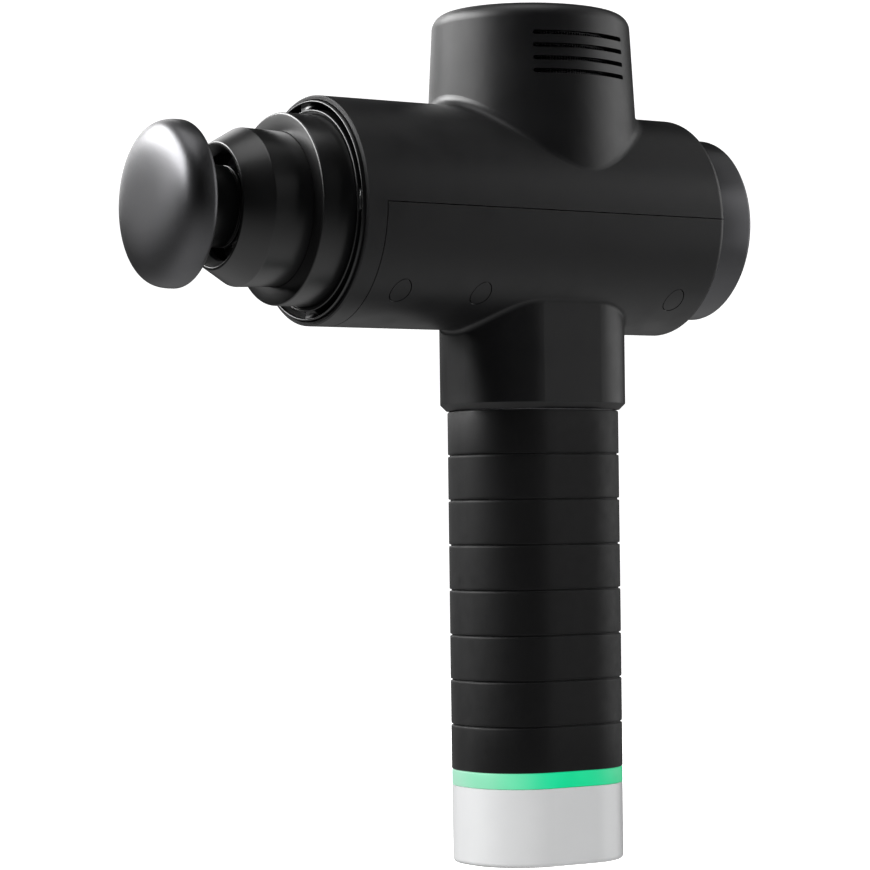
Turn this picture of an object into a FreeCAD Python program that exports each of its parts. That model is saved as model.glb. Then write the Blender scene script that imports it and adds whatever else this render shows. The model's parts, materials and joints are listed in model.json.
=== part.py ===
import FreeCAD, Part
import math
import os
from FreeCAD import Vector

# Cordless massage gun, millimetres. +Z is up, the nose points to -Y, the handle's axis is X = Y = 0, and
# the origin is the centre of the base's bottom face.

# ---- Driving dimensions -------------------------------------------------------------------------

HEIGHT = 240.0
AXIS_Z = 181.3            # height of the barrel's axis
BARREL_R = 31.28
WALL = 2.0
BARREL_FRONT = -72.3
BARREL_REAR = 45.9
REAR_ROUND = 1.8          # rounding of the barrel's rear rim
RIM_BEVEL = 0.35          # small bevels of the front rim
END_WALL = 3.0
SEAM_Y = -66.3            # ring seam between the front rim and the lower shell
SEAM_GAP = 0.25
TONGUE_R = (28.2, 29.18)  # inner lip of the lower shell, which closes the seam
TONGUE_RISE = 2.0

TOWER_HALF = (27.8, 30.15)  # half widths of the oval tower at TOWER_Z
TOWER_Z = 213.0
TOWER_Y = 0.85            # the tower's centre behind the handle's axis
TOWER_DRAFT = 0.0547      # loss of half width per mm of height
TOWER_TOP_ROUND = 4.5
TOWER_FOOT_ROUND = 3.2
SLOT_HEIGHTS = [220.5, 224.05, 227.6, 231.15]
SLOT_WIDTH = 1.25
SLOT_HALF_ANGLE = 31.5

NECK_HALF = (20.3, 25.6)
NECK_CORNER = 16.0
NECK_BOTTOM = 127.7
NECK_BORE_TOP = 149.5
NECK_FOOT_ROUND = 1.6

SCREW_X = 21.2            # vertical screws that join the shells
SCREW_YS = [-56.7, -31.0, 34.4]
PLUG_R = 2.85
PLUG_GAP = 0.25
SCREW_SEAT_Z = 168.0
SCREW_TOP_Z = 195.0
BOSS_R = 5.0

VENT_RING_R = (26.05, 29.8)
VENT_RING_Y = (-72.9, -67.5)
VENT_SLOT_R = (27.4, 29.3)
VENT_RIB_ANGLE = 13.0
RIM_WALL = 1.4            # wall of the front rim around the vent ring

COLLAR_R = 26.0
COLLAR_FRONT = -82.8
CONE_R = 21.3
CONE_SHOULDER = -94.3
LIP_R = 17.1
LIP_FRONT = -101.9
THROAT_R = 14.5

CARRIER_R = 15.0
CARRIER_REAR = -55.5
CARRIER_FRONT = -90.0
FLANGE_Y = (-66.0, -63.0)
FLANGE_R = 28.1
BUSH_R = 11.5
BUSH_LENGTH = 8.0
FIT = 0.05                # radial running clearance
SNUG = 0.01               # radial clearance of a fixed fit

CRANK_THROW = 6.0
ROD_Z = (178.3, 184.3)
SMALL_END = (3.0, -31.88)
PISTON_R = 9.0
PISTON_REAR = -39.0
PISTON_FRONT = -98.0
EAR_HALF_HEIGHT = 7.5
SOCKET_DEPTH = 25.0
STEM_R = 6.0

HEAD_R = 22.31
HEAD_EDGE_Y = -113.2
HEAD_DOME = 8.5
HEAD_BACK = 1.5            # from the widest ring to the flat back
HUB_R = 11.0

SHAFT_R = 2.5
MOTOR_PLATE_Z = (196.0, 199.0)
BEARING_R = 7.0
BEARING_H = 5.0
TUBE_TOP = 221.0
STATOR_Z = (203.0, 217.0)
TOOTH_COUNT = 12
MAGNET_COUNT = 14
CAN_R = (19.5, 21.5)
CRANK_Z = (190.0, 195.0)
POST_RING = 24.5
POST_R = 2.4
MESH_R = (24.25, 23.85)

DIAL_R = 26.3
DIAL_Y = (46.5, 59.5)
HUB_TUBE_R = (18.5, 22.0)
LENS_Y = (57.8, 59.2)
LENS_R = 23.7

GRIP_HALF = (19.2, 24.35)
GRIP_CORNER = 17.0
GRIP_Z = (26.3, 127.4)
GRIP_SKIN = 1.2
GROOVE_PITCH = 12.67
GROOVE_COUNT = 7
GROOVE_WIDTH = 0.5
GROOVE_DEPTH = 0.6
TUBE_WALL = 1.3
TUBE_TOP_Z = 149.0
BASE_HALF = (19.15, 24.3)
BASE_ROOM_HALF = (15.5, 20.6)
BASE_ROOM_CORNER = 13.4
BASE_TOP = 21.8
RING_Z = (21.9, 26.2)
BASE_FLOOR = 2.5
BASE_SHELF = 13.0

CELL_R = 9.15
CELL_LENGTH = 65.0
CELL_YS = [-9.25, 9.25]
CELL_BOTTOMS = [13.2, 80.2]
STRIP = 0.2
BLADE_XS = [-9.0, -3.0, 3.0, 9.0]
BASE_SCREWS = [(-12.8, 0.0), (12.8, 0.0)]
SWITCH_Y = 10.0
ROCKER_Z = 4.6
ROCKER_TILT = 8.0
JACK_Y = -9.0
BIG = 400.0


# ---- Helpers ------------------------------------------------------------------------------------

def cyl(r, z0, z1, x=0.0, y=0.0):
    """Upright cylinder."""
    return Part.makeCylinder(r, z1 - z0, Vector(x, y, z0))


def cyl_y(r, y0, y1, x=0.0, z=AXIS_Z):
    """Cylinder along Y, on the barrel's axis unless told otherwise."""
    return Part.makeCylinder(r, y1 - y0, Vector(x, y0, z), Vector(0, 1, 0))


def ring(outer, inner, z0, z1, x=0.0, y=0.0):
    return cyl(outer, z0, z1, x, y).cut(cyl(inner, z0 - 1, z1 + 1, x, y))


def ring_y(outer, inner, y0, y1, x=0.0, z=AXIS_Z):
    return cyl_y(outer, y0, y1, x, z).cut(cyl_y(inner, y0 - 1, y1 + 1, x, z))


def box(x0, x1, y0, y1, z0, z1):
    return Part.makeBox(x1 - x0, y1 - y0, z1 - z0, Vector(x0, y0, z0))


def sector(outer, inner, z0, z1, middle, half_angle):
    """Part of an upright ring, half_angle degrees each side of the direction middle."""
    whole = Part.makeCylinder(outer, z1 - z0, Vector(0, 0, z0), Vector(0, 0, 1), 2 * half_angle)
    whole.rotate(Vector(0, 0, 0), Vector(0, 0, 1), middle - half_angle)
    return whole.cut(cyl(inner, z0 - 1, z1 + 1))


def to_barrel(shape):
    """Turns a shape made about the upright axis so that its +Z runs along the barrel to +Y."""
    moved = shape.copy()
    moved.rotate(Vector(0, 0, 0), Vector(1, 0, 0), -90)
    moved.translate(Vector(0, 0, AXIS_Z))
    return moved


def turned(shape, angle):
    """Copy turned about the handle's axis."""
    copy = shape.copy()
    copy.rotate(Vector(0, 0, 0), Vector(0, 0, 1), angle)
    return copy


def barrel_turned(shape, angle):
    """Copy turned about the barrel's axis."""
    copy = shape.copy()
    copy.rotate(Vector(0, 0, AXIS_Z), Vector(0, 1, 0), angle)
    return copy


def moved(shape, x=0.0, y=0.0, z=0.0):
    copy = shape.copy()
    copy.translate(Vector(x, y, z))
    return copy


def rounded_block(half, corner, z0, z1):
    """Upright prism with an oblong outline and round corners. half gives its X and Y half widths."""
    upright = box(-half[0], half[0], -half[1], half[1], z0, z1)
    edges = [e for e in upright.Edges if abs(e.Vertexes[0].Z - e.Vertexes[1].Z) > 0.5 * (z1 - z0)]
    return upright.makeFillet(corner, edges)


def handle_block(inset, z0, z1):
    """Prism with the grip's outline, inset by a wall."""
    half = (GRIP_HALF[0] - inset, GRIP_HALF[1] - inset)
    return rounded_block(half, GRIP_CORNER - inset, z0, z1)


def revolved(points):
    """Solid of revolution about the barrel's axis from (radius, y) points."""
    corners = [Vector(r, y, AXIS_Z) for r, y in points]
    wire = Part.makePolygon(corners + corners[:1])
    return Part.Face(wire).revolve(Vector(0, 0, AXIS_Z), Vector(0, 1, 0), 360)


def fused(first, *others):
    return first.fuse(list(others)).removeSplitter()


def edges_where(shape, test):
    """Edges with three inner points that all pass the test."""
    found = []
    for edge in shape.Edges:
        start, end = edge.ParameterRange
        points = [edge.valueAt(start + (end - start) * part) for part in (0.2, 0.5, 0.8)]
        if all(test(p) for p in points):
            found.append(edge)
    return found


def save(name, *shapes):
    """Writes one node. Several solids become a group of separate solids."""
    solids = [s for shape in shapes for s in shape.Solids]
    whole = solids[0] if len(solids) == 1 else Part.makeCompound(solids)
    whole.exportStep("parts/" + name + ".step")
    print(name, len(solids), "solids", round(sum(s.Volume for s in solids)), "mm3", whole.isValid())


def tower_half(z, inset=0.0):
    """Half widths of the tower at a height, smaller by inset."""
    loss = (z - TOWER_Z) * TOWER_DRAFT + inset
    return TOWER_HALF[0] - loss, TOWER_HALF[1] - loss


# ---- Shells -------------------------------------------------------------------------------------

def tower_body(inset, z0, z1):
    wires = []
    for z in (z0, z1):
        short, long = tower_half(z, inset)
        oval = Part.Ellipse(Vector(0, TOWER_Y + long, z), Vector(short, TOWER_Y, z), Vector(0, TOWER_Y, z))
        wires.append(Part.Wire([oval.toShape()]))
    return Part.makeLoft(wires, True, True)


def on_barrel(p):
    return abs(math.hypot(p.x, p.z - AXIS_Z) - BARREL_R) < 0.01


def on_tower(p):
    short, long = tower_half(p.z)
    return abs(math.hypot(p.x / short, (p.y - TOWER_Y) / long) - 1) < 0.001


def barrel_outside():
    body = cyl_y(BARREL_R, BARREL_FRONT, BARREL_REAR)
    body = body.makeFillet(REAR_ROUND, edges_where(body, lambda p: abs(p.y - BARREL_REAR) < 0.01))
    return body.makeChamfer(RIM_BEVEL, edges_where(body, lambda p: abs(p.y - BARREL_FRONT) < 0.01))


def shell_inside():
    """Room inside the shells."""
    room = cyl_y(BARREL_R - WALL, SEAM_Y - 1.0, BARREL_REAR - END_WALL)
    rim_room = cyl_y(BARREL_R - RIM_WALL, BARREL_FRONT - 1, SEAM_Y - 0.99)
    flare_r = BARREL_R - RIM_WALL + RIM_BEVEL
    flare = Part.makeCone(flare_r, flare_r - RIM_BEVEL, RIM_BEVEL, Vector(0, BARREL_FRONT, AXIS_Z),
                          Vector(0, 1, 0))
    rear_hole = cyl_y(HUB_TUBE_R[1] + 0.3, BARREL_REAR - END_WALL - 1, BARREL_REAR + 1)
    return room.fuse([rim_room, flare, rear_hole])


def carrier_seat():
    """Ribs and pads inside the shells that hold the carrier's flange."""
    front, rear = FLANGE_Y
    pad = ring_y(BARREL_R - WALL / 2, FLANGE_R + FIT, front - 1.2, rear + 1.2)
    front_rib = ring_y(BARREL_R - WALL / 2, 26.8, front - 1.2, front - 0.1)
    rear_rib = ring_y(BARREL_R - WALL / 2, 26.8, rear + 0.1, rear + 1.2)
    return fused(pad, front_rib, rear_rib)


def bulkhead_screw_holes():
    places = [barrel_turned(cyl_y(1.12, 42.0, 45.3, 24.5), 45 + 90 * k) for k in range(4)]
    return places[0].fuse(places[1:])


def tower_slots():
    cuts = []
    for z in SLOT_HEIGHTS:
        for side in (0.0, 180.0):
            low = z - SLOT_WIDTH / 2
            cuts.append(sector(40.0, 24.0, low, low + SLOT_WIDTH, side, SLOT_HALF_ANGLE))
            for end in (-SLOT_HALF_ANGLE, SLOT_HALF_ANGLE):
                drill = Part.makeCylinder(SLOT_WIDTH / 2, 16.0, Vector(24, 0, z), Vector(1, 0, 0))
                cuts.append(turned(drill, side + end))
    return moved(cuts[0].fuse(cuts[1:]), y=TOWER_Y)


def upper_housing():
    tower = tower_body(0, AXIS_Z, HEIGHT)
    outside = barrel_outside().fuse(tower).removeSplitter()
    foot = edges_where(outside, lambda p: on_barrel(p) and on_tower(p))
    outside = outside.makeFillet(TOWER_FOOT_ROUND, foot)
    top_rim = edges_where(outside, lambda p: abs(p.z - HEIGHT) < 0.01)
    outside = outside.makeFillet(TOWER_TOP_ROUND, top_rim)
    room = tower_body(WALL, AXIS_Z, HEIGHT - WALL)
    inner_rim = edges_where(room, lambda p: abs(p.z - HEIGHT + WALL) < 0.01)
    room = room.makeFillet(TOWER_TOP_ROUND - WALL, inner_rim)
    shell = outside.cut(shell_inside()).cut(room)
    tower_limit = tower_body(1.0, AXIS_Z, HEIGHT - 1.0)
    limit_rim = edges_where(tower_limit, lambda p: abs(p.z - HEIGHT + 1.0) < 0.01)
    inner_limit = barrel_outside().fuse(tower_limit.makeFillet(TOWER_TOP_ROUND - 1.0, limit_rim))
    posts = [turned(cyl(POST_R, MOTOR_PLATE_Z[1], HEIGHT, POST_RING), 45 + 90 * k) for k in range(4)]
    bosses = [cyl(BOSS_R - 0.8, AXIS_Z, 215.0, s * SCREW_X, y) for s in (-1, 1) for y in SCREW_YS]
    bosses = [b.common(cyl_y(BARREL_R - 1.0, BARREL_FRONT, BARREL_REAR)) for b in bosses]
    seat = carrier_seat().cut(box(-BIG, BIG, -BIG, BIG, 0, AXIS_Z + TONGUE_RISE + 0.3))
    shell = shell.fuse([p.common(inner_limit) for p in posts] + bosses + [seat])
    shell = shell.cut(tower_slots()).cut(bulkhead_screw_holes())
    for s in (-1, 1):
        for y in SCREW_YS:
            shell = shell.cut(cyl(1.5 + SNUG, AXIS_Z - 1, SCREW_TOP_Z + 1, s * SCREW_X, y))
    for k in range(4):
        shell = shell.cut(turned(cyl(1.5 + SNUG, MOTOR_PLATE_Z[1] - 1, 208.0, POST_RING), 45 + 90 * k))
    half = box(-BIG, BIG, -BIG, BIG, AXIS_Z + SEAM_GAP / 2, BIG)
    front = box(-BIG, BIG, -BIG, SEAM_Y - SEAM_GAP / 2, 0, BIG)
    save("upper_housing", shell.common(half.fuse(front)))


def neck_outside(top):
    """Neck with a chamfer round its lower edge."""
    chamfer_in, chamfer_up = 2.0, 1.4
    neck = rounded_block(NECK_HALF, NECK_CORNER, NECK_BOTTOM, top)
    rim = [e for e in neck.Edges if max(v.Z for v in e.Vertexes) < NECK_BOTTOM + 0.01]
    return neck.makeChamfer((chamfer_in + chamfer_up) / 2, rim)


def lower_housing():
    outside = barrel_outside().fuse(neck_outside(AXIS_Z - 6)).removeSplitter()
    foot = edges_where(outside, lambda p: on_barrel(p) and abs(p.x) < NECK_HALF[0] + 0.01
                       and abs(p.y) < NECK_HALF[1] + 0.01 and p.z < AXIS_Z - 5)
    outside = outside.makeFillet(NECK_FOOT_ROUND, foot)
    outside = outside.cut(shell_inside()).cut(handle_block(GRIP_SKIN - 0.13, NECK_BOTTOM - 1, NECK_BORE_TOP))
    wall_limit = cyl_y(BARREL_R - 1.0, BARREL_FRONT, BARREL_REAR)
    bosses = [cyl(BOSS_R, 150.0, AXIS_Z, s * SCREW_X, y).common(wall_limit)
              for s in (-1, 1) for y in SCREW_YS]
    shell = outside.fuse(bosses + [carrier_seat()])
    for s in (-1, 1):
        for y in SCREW_YS:
            shell = shell.cut(cyl(PLUG_R + PLUG_GAP, 140.0, SCREW_SEAT_Z, s * SCREW_X, y))
            shell = shell.cut(cyl(1.7, SCREW_SEAT_Z - 1, AXIS_Z + 1, s * SCREW_X, y))
    shell = shell.cut(bulkhead_screw_holes())
    shell = shell.cut(box(-13.2, 13.2, -6.2, 6.2, NECK_BORE_TOP - 1, AXIS_Z - 6))
    shell = shell.common(box(-BIG, BIG, SEAM_Y + SEAM_GAP / 2, BIG, 0, AXIS_Z - SEAM_GAP / 2))
    lip = ring_y(TONGUE_R[1], TONGUE_R[0], SEAM_Y - 0.9, BARREL_REAR - END_WALL - 0.1)
    side_lip = lip.common(box(-BIG, BIG, -BIG, BIG, AXIS_Z - TONGUE_RISE, AXIS_Z + TONGUE_RISE))
    front_lip = ring_y(TONGUE_R[1], TONGUE_R[0], SEAM_Y - 0.9, SEAM_Y + TONGUE_RISE)
    front_lip = front_lip.common(box(-BIG, BIG, -BIG, BIG, 0, AXIS_Z))
    weld = ring_y(BARREL_R - 1.0, TONGUE_R[0], SEAM_Y + SEAM_GAP / 2, BARREL_REAR - END_WALL)
    side_weld = weld.common(box(-BIG, BIG, -BIG, BIG, AXIS_Z - TONGUE_RISE, AXIS_Z - SEAM_GAP / 2))
    front_weld = weld.common(box(-BIG, BIG, SEAM_Y, SEAM_Y + TONGUE_RISE, 0, AXIS_Z - SEAM_GAP / 2))
    shell = shell.fuse([side_lip, front_lip, side_weld, front_weld])
    for s in (-1, 1):
        for y in SCREW_YS:
            shell = shell.cut(cyl(BOSS_R - 0.6, AXIS_Z - SEAM_GAP / 2, AXIS_Z + 4, s * SCREW_X, y))
    save("lower_housing", shell.removeSplitter())


def housing_screws():
    screws = []
    for s in (-1, 1):
        for y in SCREW_YS:
            head = cyl(2.9, SCREW_SEAT_Z - 2.2, SCREW_SEAT_Z, s * SCREW_X, y)
            socket = cyl(1.1, SCREW_SEAT_Z - 3, SCREW_SEAT_Z - 0.9, s * SCREW_X, y)
            shank = cyl(1.5, SCREW_SEAT_Z, SCREW_TOP_Z, s * SCREW_X, y)
            screws.append(fused(head, shank).cut(socket))
    save("housing_screws", *screws)


def screw_plugs():
    plugs = []
    barrel = cyl_y(BARREL_R - 0.05, BARREL_FRONT, BARREL_REAR)
    for s in (-1, 1):
        for y in SCREW_YS:
            plugs.append(cyl(PLUG_R, 140.0, SCREW_SEAT_Z - 2.6, s * SCREW_X, y).common(barrel))
    save("screw_plugs", *plugs)


def vent_mesh():
    """Perforated metal strips behind the tower's slots."""
    strips = []
    for side in (0.0, 180.0):
        strip = sector(*MESH_R, 218.0, 234.0, side, SLOT_HALF_ANGLE + 3)
        for k in range(-15, 16):
            bar = box(20, 30, -0.45, 0.45, 219.2, 232.8)
            strip = strip.cut(turned(bar, side + 2.1 * k))
        strips.append(strip)
    save("vent_mesh", *strips)


# ---- Nose ---------------------------------------------------------------------------------------

def front_vent_ring():
    y0, y1 = VENT_RING_Y
    plate = ring_y(VENT_RING_R[1], VENT_RING_R[0], y0, y1)
    half = 45.0 - VENT_RIB_ANGLE / 2
    slot = to_barrel(sector(VENT_SLOT_R[1], VENT_SLOT_R[0], y0 - 1, y1 + 1, 45.0, half))
    for k in range(4):
        plate = plate.cut(barrel_turned(slot, 90 * k))
    save("front_vent_ring", plate)


def nose_collar():
    bevel = 0.5
    rear = FLANGE_Y[0] - 0.05
    inner = COLLAR_R - WALL
    hole = CONE_R + 0.15
    save("nose_collar", revolved([(COLLAR_R, rear), (COLLAR_R, COLLAR_FRONT + bevel),
                                  (COLLAR_R - bevel, COLLAR_FRONT), (hole, COLLAR_FRONT),
                                  (hole, COLLAR_FRONT + WALL), (inner, COLLAR_FRONT + WALL),
                                  (inner, rear)]))


def nose_cone():
    back = COLLAR_FRONT + 4.4
    flange_front = COLLAR_FRONT + WALL + 0.1
    inner = CONE_R - WALL
    save("nose_cone", revolved([(inner, back), (COLLAR_R - WALL - 0.2, back),
                                (COLLAR_R - WALL - 0.2, flange_front), (CONE_R, flange_front),
                                (CONE_R, CONE_SHOULDER), (LIP_R, LIP_FRONT), (LIP_R - 0.5, LIP_FRONT),
                                (THROAT_R, LIP_FRONT + 3.0), (THROAT_R, LIP_FRONT + 5.0),
                                (17.8, LIP_FRONT + 5.0), (inner, CONE_SHOULDER)]))


def bearing_carrier():
    front_flange = CONE_R - WALL - 0.1
    body = cyl_y(CARRIER_R, CARRIER_FRONT, CARRIER_REAR)
    body = fused(body, cyl_y(FLANGE_R, *FLANGE_Y), cyl_y(front_flange, CARRIER_FRONT, CARRIER_FRONT + 2))
    body = body.cut(cyl_y(BUSH_R + SNUG, CARRIER_FRONT + 2, CARRIER_REAR + 1))
    body = body.cut(cyl_y(PISTON_R + 1, CARRIER_FRONT - 1, CARRIER_REAR))
    window = to_barrel(sector(23.5, 17.0, FLANGE_Y[0] - 1, FLANGE_Y[1] + 1, 45.0, 36.0))
    for k in range(4):
        body = body.cut(barrel_turned(window, 90 * k))
    save("bearing_carrier", body)


def guide_bushes():
    front = CARRIER_FRONT + 2
    pair = [(CARRIER_REAR - BUSH_LENGTH, CARRIER_REAR), (front, front + BUSH_LENGTH)]
    save("guide_bushes", *[ring_y(BUSH_R, PISTON_R + FIT, y0, y1) for y0, y1 in pair])


def wiper_seal():
    rim = CARRIER_FRONT
    save("wiper_seal", revolved([(PISTON_R + FIT, rim - 2.4), (PISTON_R + 1.2, rim - 2.4),
                                 (PISTON_R + 2.0, rim - 0.9), (14.0, rim - 0.9), (14.0, rim),
                                 (PISTON_R + FIT, rim)]))


# ---- Motor --------------------------------------------------------------------------------------

def motor_plate():
    low, high = MOTOR_PLATE_Z
    lugs = [turned(cyl(2.5, low, high, POST_RING), 45 + 90 * k) for k in range(4)]
    body = fused(cyl(26.2, low, high), cyl(8.6, high, TUBE_TOP), *lugs)
    body = body.cut(cyl(6.0, low - 1, TUBE_TOP + 1))
    body = body.cut(cyl(BEARING_R + SNUG, low - 1, low + BEARING_H))
    body = body.cut(cyl(BEARING_R + SNUG, TUBE_TOP - BEARING_H, TUBE_TOP + 1))
    for k in range(4):
        body = body.cut(turned(cyl(1.7, low - 1, high + 1, POST_RING), 45 + 90 * k))
        body = body.cut(turned(sector(19.0, 12.0, low - 1, high + 1, 0.0, 30.0), 90 * k))
    save("motor_plate", body)


def motor_screws():
    low, high = MOTOR_PLATE_Z
    screw = fused(cyl(2.2, low - 1.8, low, POST_RING), cyl(1.5, low, high + 8.0, POST_RING))
    screw = screw.cut(cyl(1.0, low - 2, low - 0.8, POST_RING))
    save("motor_screws", *[turned(screw, 45 + 90 * k) for k in range(4)])


def motor_bearings():
    rings = []
    for z in (MOTOR_PLATE_Z[0], TUBE_TOP - BEARING_H):
        race = ring(BEARING_R, SHAFT_R + 0.02, z, z + BEARING_H)
        groove = ring(BEARING_R - 1.2, SHAFT_R + 1.2, z - 1, z + 0.3)
        rings.append(race.cut(groove).cut(moved(groove, z=BEARING_H + 0.7)))
    save("motor_bearings", *rings)


def stator_core():
    z0, z1 = STATOR_Z
    pitch = 360.0 / TOOTH_COUNT
    pieces = []
    for k in range(TOOTH_COUNT):
        pieces.append(turned(box(10.0, 15.8, -1.0, 1.0, z0, z1), pitch * k))
        pieces.append(sector(17.0, 15.4, z0, z1, pitch * k, 0.4 * pitch))
    save("stator_core", fused(ring(11.0, 8.6 + SNUG, z0, z1), *pieces))


def stator_windings():
    z0, z1 = STATOR_Z
    coil = box(11.3, 15.1, -2.3, 2.3, z0 - 2, z1 + 2).cut(box(11, 16, -1.02, 1.02, z0 - 0.02, z1 + 0.02))
    round_edges = [e for e in coil.Edges if abs(abs(e.CenterOfMass.y) - 2.3) < 0.01
                   and abs(e.CenterOfMass.x - 13.2) < 0.1]
    coil = coil.makeFillet(1.2, round_edges)
    pitch = 360.0 / TOOTH_COUNT
    save("stator_windings", *[turned(coil, pitch * k) for k in range(TOOTH_COUNT)])


def motor_shaft():
    save("motor_shaft", cyl(SHAFT_R, CRANK_Z[0], 234.0))


def rotor_can():
    outer = cyl(CAN_R[1], STATOR_Z[0] - 0.5, 224.0)
    outer = outer.makeFillet(1.5, edges_where(outer, lambda p: abs(p.z - 224.0) < 0.01))
    body = outer.cut(cyl(CAN_R[0], STATOR_Z[0] - 1, 222.0))
    body = fused(body, cyl(6.0, 222.0, 226.0)).cut(cyl(SHAFT_R + SNUG, 200, 230))
    for k in range(6):
        body = body.cut(turned(cyl(3.0, 221, 225, 12.5), 60 * k))
    save("rotor_can", body)


def rotor_magnets():
    pitch = 360.0 / MAGNET_COUNT
    magnet = sector(CAN_R[0] - SNUG, 17.5, STATOR_Z[0], STATOR_Z[1] + 0.5, 0.0, 0.44 * pitch)
    save("rotor_magnets", *[turned(magnet, pitch * k) for k in range(MAGNET_COUNT)])


def cooling_fan():
    low, high, tip = 226.1, 233.0, 21.0
    blades = []
    for k in range(11):
        blade = box(8.0, tip - 1.0, -0.5, 0.5, low + 1, high)
        blade.rotate(Vector(8, 0, low), Vector(0, 0, 1), 28)
        blades.append(turned(blade, 360.0 / 11 * k).common(cyl(tip, low, high)))
    body = fused(cyl(tip, low, low + 1.2), cyl(9.0, low, high), *blades)
    body = body.cut(cyl(SHAFT_R + SNUG, low - 1, high + 1))
    save("cooling_fan", body)


def crank_disc():
    low, high = CRANK_Z
    disc = cyl(11.0, low, high).cut(cyl(SHAFT_R + SNUG, low - 1, high + 1))
    save("crank_disc", disc.cut(cyl(2.5 + SNUG, low - 1, high - 1, 0, CRANK_THROW)))


def counterweight():
    low, high = CRANK_Z
    save("counterweight", sector(19.0, 11.0 + SNUG, low, high, 270.0, 75.0))


def crank_pin():
    pin = cyl(2.5, 177.8, CRANK_Z[1] - 1, 0, CRANK_THROW)
    collar = cyl(3.6, ROD_Z[1] + 0.3, CRANK_Z[0], 0, CRANK_THROW)
    save("crank_pin", fused(pin, collar))


# ---- Linkage ------------------------------------------------------------------------------------

def connecting_rod():
    low, high = ROD_Z
    x, y = SMALL_END
    length = math.hypot(x, y - CRANK_THROW)
    shank = box(-3.5, 3.5, -length, 0, low, high)
    waist = box(-2.0, 2.0, 8.0 - length, -10.5, low - 1, low + 1.5)
    shank = shank.cut(waist).cut(moved(waist, z=high - low + 0.5))
    tilt = math.degrees(math.atan2(x, CRANK_THROW - y))
    shank.rotate(Vector(0, 0, 0), Vector(0, 0, 1), tilt)
    shank.translate(Vector(0, CRANK_THROW, 0))
    rod = fused(shank, cyl(9.0, low, high, 0, CRANK_THROW), cyl(5.0, low, high, x, y))
    rod = rod.cut(cyl(6.5 + SNUG, low - 1, high + 1, 0, CRANK_THROW))
    save("connecting_rod", rod.cut(cyl(3.4 + SNUG, low - 1, high + 1, x, y)))


def big_end_bearing():
    save("big_end_bearing", ring(6.5, 2.52, ROD_Z[0] + 1, ROD_Z[1] - 1, 0, CRANK_THROW))


def small_end_bush():
    save("small_end_bush", ring(3.4, 2.0 + SNUG, *ROD_Z, *SMALL_END))


def wrist_pin():
    pin = cyl(2.0, AXIS_Z - 8.0, AXIS_Z + 8.0, *SMALL_END)
    save("wrist_pin", pin)


def piston():
    """Piston with a two-eared clevis behind it. The ears' windows clear the wrist pin's path."""
    ears = box(-PISTON_R, PISTON_R, PISTON_REAR - 4, SMALL_END[1] + 4.6,
               AXIS_Z - EAR_HALF_HEIGHT, AXIS_Z + EAR_HALF_HEIGHT)
    body = fused(cyl_y(PISTON_R, PISTON_FRONT, PISTON_REAR), ears)
    body = body.cut(box(-BIG, BIG, SMALL_END[1] - 6.8, 0, ROD_Z[0] - 0.3, ROD_Z[1] + 0.3))
    window = box(-1.8, 1.8, SMALL_END[1] - 3.5, SMALL_END[1] + 3.5, 160, 200)
    for x in (-1.8, 1.8):
        window = window.fuse(cyl(3.5, 160, 200, x, SMALL_END[1]))
    body = body.cut(window)
    body = body.cut(cyl_y(7.5 + SNUG, PISTON_FRONT - 1, PISTON_FRONT + SOCKET_DEPTH))
    save("piston", body.removeSplitter())


def socket_liner():
    save("socket_liner", ring_y(7.5, STEM_R + FIT, PISTON_FRONT, PISTON_FRONT + SOCKET_DEPTH - 0.2))


# ---- Head ---------------------------------------------------------------------------------------

def head_dome():
    """Points of the domed face: a superellipse from the rim to the tip."""
    steps = 14
    points = []
    for k in range(steps + 1):
        angle = math.pi / 2 * k / steps
        r = HEAD_R * math.cos(angle) ** (2 / 4.5) if k < steps else 0.0
        points.append(Vector(r, HEAD_EDGE_Y - HEAD_DOME * math.sin(angle) ** 0.5, AXIS_Z))
    return points


def massage_head():
    dome = head_dome()
    curve = Part.BSplineCurve()
    curve.interpolate(dome)
    back_y = HEAD_EDGE_Y + HEAD_BACK
    back = [dome[0], Vector(HEAD_R - HEAD_BACK, back_y, AXIS_Z), Vector(0, back_y, AXIS_Z), dome[-1]]
    edges = [curve.toShape()]
    edges += [Part.makeLine(a, b) for a, b in zip([back[3], back[2], back[1]], [back[2], back[1], back[0]])]
    face = Part.Face(Part.Wire(Part.sortEdges(edges)[0]))
    puck = face.revolve(Vector(0, 0, AXIS_Z), Vector(0, 1, 0), 360)
    save("massage_head", puck.cut(cyl_y(18.0 + SNUG, HEAD_EDGE_Y - 0.9, HEAD_EDGE_Y + 5)))


def head_hub():
    plate_front = HEAD_EDGE_Y - 0.9
    plate_back = HEAD_EDGE_Y + 1.3
    rear = PISTON_FRONT - 0.05
    body = revolved([(0, plate_front), (18.0, plate_front), (18.0, plate_back), (HUB_R + 1.5, plate_back),
                     (HUB_R, plate_back + 1.5), (HUB_R, rear - 0.8), (HUB_R - 0.8, rear), (0, rear)])
    save("head_hub", body.cut(cyl_y(4.0, rear - 6, rear + 1)))


def head_stem():
    rear = PISTON_FRONT + SOCKET_DEPTH - 2.0
    front = PISTON_FRONT - 0.05
    body = revolved([(0, front), (STEM_R, front), (STEM_R, rear - 1.2), (STEM_R - 1.2, rear), (0, rear)])
    body = fused(body, cyl_y(4.0 - SNUG, front - 5.9, front))
    for y in (front + 7.0, front + 16.0):
        body = body.cut(ring_y(STEM_R + 1, STEM_R - 1.2, y - 0.65, y + 0.65))
    save("head_stem", body)


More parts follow.
